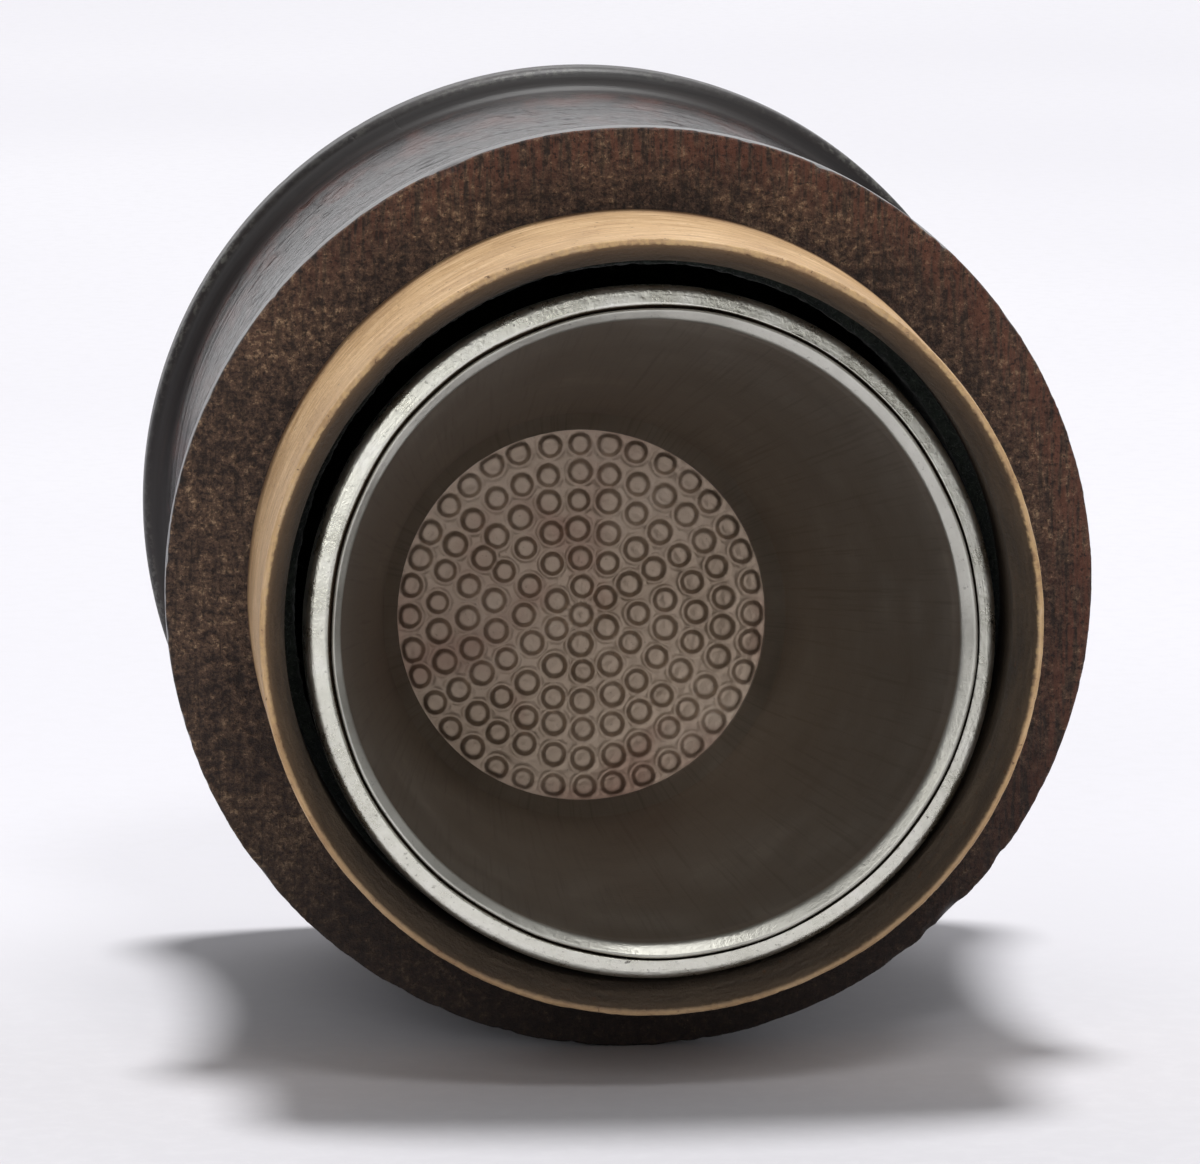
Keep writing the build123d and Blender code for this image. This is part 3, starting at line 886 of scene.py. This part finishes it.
def build_cap():
    """The crown disc: rings of bosses inside the thimble, rings of dimples outside."""
    rng = np.random.RandomState(71)
    centers, sizes = [(0.0, 0.0)], [1.0]
    for ring in range(1, CAP_RINGS + 1):
        count = 6 * ring
        for k in range(count):
            angle = 2 * math.pi * (k + 0.5 * (ring % 2)) / count
            away = ring * CAP_PITCH + rng.normal(0, SCATTER) * MM
            angle += rng.normal(0, SCATTER) * MM / (ring * CAP_PITCH)
            centers.append((away * math.cos(angle), away * math.sin(angle)))
            sizes.append(rng.uniform(0.92, 1.06))
    centers, sizes = np.array(centers), np.array(sizes)
    corners = [
        (0, SEAT_T, 0),
        (HOLE_R - 0.03 * MM, SEAT_T, 0, 0.045 * MM),
        (CAP_R, SEAT_T, 0, 0.3 * MM),
        (CAP_R, SEAT_T + CAP_THICK, 0.22 * MM, 0.1 * MM),
        (0, SEAT_T + CAP_THICK, 0, 0.06 * MM),
    ]
    line = rounded(corners, 0.06 * MM, 6)

    def push(theta, line, normals, share):
        r, z = line[:, 0], line[:, 1]
        x = r[None, :] * np.cos(theta)[:, None]
        y = r[None, :] * np.sin(theta)[:, None]
        nearest = np.full(x.shape, 9.0)
        for (cx, cy), scale in zip(centers, sizes):
            nearest = np.minimum(nearest, np.hypot(x - cx, y - cy) / (BOSS_R * scale))
        boss = BOSS_HEIGHT * (1 - smooth_step((nearest - 0.66) / 0.45))
        moat = -MOAT_DEPTH * np.exp(-(((nearest - 1.2) / 0.18) ** 2))
        hollow = -HOLLOW_DEPTH * np.exp(-((nearest / 0.42) ** 2))
        inside = (z < SEAT_T + 0.01 * MM) * smooth_step((HOLE_R - 0.05 * MM - r) / (0.1 * MM))
        amount = (boss + moat + hollow) * inside
        pit = -PIT_DEPTH * (1 - smooth_step((nearest - 0.3) / 0.75))
        above = (z > SEAT_T + CAP_THICK - 0.01 * MM) * smooth_step((CAP_R - 0.4 * MM - r) / (0.15 * MM))
        amount += pit * above
        amount += grid_noise(72, len(theta), share, 30, 60, 3) * 0.010 * MM * inside * (r > 0.3 * MM)
        amount[:, r < 1e-7] = amount[:1, r < 1e-7]
        return amount

    piece = lathe("thimble_crown", line, 640, THIMBLE, push)
    return finished(piece, cap_metal(), "thimble", "cap_metal", "thimble_cap")


build_body()
build_sleeve()
felt_material = felt()
build_lining(felt_material)
build_pad(felt_material)
build_fibres(felt_material)
build_band()
build_wall()
build_cap()


# ---- floor, light and camera ----
FLOOR_R = 3.0
FLOOR_CORNERS = 96


def build_floor():
    n = Nodes("paper_floor")
    grain = n.noise(n.place, 1400, 3, 0.6)
    y = n.axes()[1]
    cloud = n.noise(n.place, 9, 2, 0.5)
    pale = n.mix(n.fit(cloud, 0.3, 0.7), (0.70, 0.69, 0.73), (0.75, 0.74, 0.775))
    # painted shade: the floor darkens towards the camera's side, in front of the case
    pale = n.mix(n.fit(y, 0.03, -0.012), pale, (0.62, 0.61, 0.64))
    n.put(n.shader.inputs["Base Color"], n.mix(n.fit(grain, 0.4, 0.7, 0, 0.3), pale, (0.68, 0.67, 0.70)))
    n.bump((grain, 0.03 * MM, 0.3))
    material = n.surface(Roughness=0.8, Specular_IOR_Level=0.2)
    mesh = bpy.data.meshes.new("floor")
    verts = [(0, 0, 0)]
    for k in range(FLOOR_CORNERS):
        angle = 2 * math.pi * k / FLOOR_CORNERS
        verts.append((FLOOR_R * math.cos(angle), FLOOR_R * math.sin(angle), 0))
    faces = [(0, 1 + k, 1 + (k + 1) % FLOOR_CORNERS) for k in range(FLOOR_CORNERS)]
    mesh.from_pydata(verts, [], faces)
    floor = bpy.data.objects.new("floor", mesh)
    bpy.context.scene.collection.objects.link(floor)
    floor.data.materials.append(material)


def add_light(name, place, aim, width, height, power, color=(1, 1, 1)):
    data = bpy.data.lights.new(name, "AREA")
    data.shape = "RECTANGLE"
    data.size, data.size_y = width, height
    data.energy = power
    data.color = color
    light = bpy.data.objects.new(name, data)
    light.location = place
    light.rotation_mode = "QUATERNION"
    light.rotation_quaternion = (Vector(aim) - Vector(place)).to_track_quat("-Z", "Y")
    bpy.context.scene.collection.objects.link(light)


def build_world():
    """Dim all round, brighter at the back like a white sweep of paper, and at the right like a window."""
    world = bpy.data.worlds.new("studio")
    world.use_nodes = True
    tree = world.node_tree
    tree.nodes.clear()
    out = tree.nodes.new("ShaderNodeOutputWorld")
    background = tree.nodes.new("ShaderNodeBackground")
    tree.links.new(background.outputs[0], out.inputs[0])
    coordinate = tree.nodes.new("ShaderNodeTexCoord")
    split = tree.nodes.new("ShaderNodeSeparateXYZ")
    tree.links.new(coordinate.outputs["Generated"], split.inputs[0])
    x, y, z = split.outputs
    total = None
    # (direction, from, to, brightness)
    for socket, low, high, level in (
        (z, -1.0, -0.9, 0.045),
        (y, 0.35, 0.95, 1.4),
        (x, 0.10, 0.90, 0.16),
        (y, -0.70, -0.97, 0.56),
    ):
        part = tree.nodes.new("ShaderNodeMapRange")
        part.interpolation_type = "SMOOTHSTEP"
        tree.links.new(socket, part.inputs["Value"])
        for name, value in (("From Min", low), ("From Max", high), ("To Min", 0.0), ("To Max", level)):
            part.inputs[name].default_value = value
        if total is None:
            total = part.outputs[0]
        else:
            join = tree.nodes.new("ShaderNodeMath")
            tree.links.new(total, join.inputs[0])
            tree.links.new(part.outputs[0], join.inputs[1])
            total = join.outputs[0]
    tree.links.new(total, background.inputs["Strength"])
    background.inputs["Color"].default_value = (0.98, 0.98, 1.0, 1)
    bpy.context.scene.world = world


def add_sun(name, toward, strength, spread):
    """Even light from one direction, as from a lamp far away."""
    data = bpy.data.lights.new(name, "SUN")
    data.energy = strength
    data.angle = math.radians(spread)
    light = bpy.data.objects.new(name, data)
    light.rotation_mode = "QUATERNION"
    light.rotation_quaternion = (-Vector(toward)).to_track_quat("-Z", "Y")
    bpy.context.scene.collection.objects.link(light)


AIM = Vector((0, 0, AXIS_Z))
build_floor()
build_world()
add_sun("light_above", (0.02, 0.20, 1.0), 2.88, 12)
add_sun("light_side", (0.80, 0.15, 0.55), 0.14, 35)
add_light("light_front", (0.07, -0.30, 0.40), AIM, 0.13, 0.10, 0.4)
add_light("light_high_left", (-0.17, -0.40, 0.24), AIM, 0.26, 0.20, 0.34)


CAMERA_AZIMUTH, CAMERA_ELEVATION = math.radians(-4.934), math.radians(8.942)
CAMERA_DISTANCE = 235.3 * MM
CAMERA_LEFT, CAMERA_UP = 0.813 * MM, 0.224 * MM
CAMERA_LENS = 266.9


def build_camera():
    """At the photograph's angle: a little left of the mouth's axis and above it."""
    azimuth, elevation = CAMERA_AZIMUTH, CAMERA_ELEVATION
    level = math.cos(elevation)
    back = Vector((math.sin(azimuth) * level, -math.cos(azimuth) * level, math.sin(elevation)))
    right = Vector((math.cos(azimuth), math.sin(azimuth), 0))
    down = back.cross(right) * -1
    face_center = Vector((0, FACE_Y, AXIS_Z))
    data = bpy.data.cameras.new("camera")
    data.lens, data.sensor_width = CAMERA_LENS, 36
    data.clip_start, data.clip_end = 0.01, 20
    camera = bpy.data.objects.new("camera", data)
    camera.location = face_center + back * CAMERA_DISTANCE - right * CAMERA_LEFT - down * CAMERA_UP
    camera.rotation_mode = "QUATERNION"
    camera.rotation_quaternion = (-back).to_track_quat("-Z", "Y")
    bpy.context.scene.collection.objects.link(camera)
    bpy.context.scene.camera = camera


build_camera()
bpy.context.scene.view_settings.view_transform = "Standard"
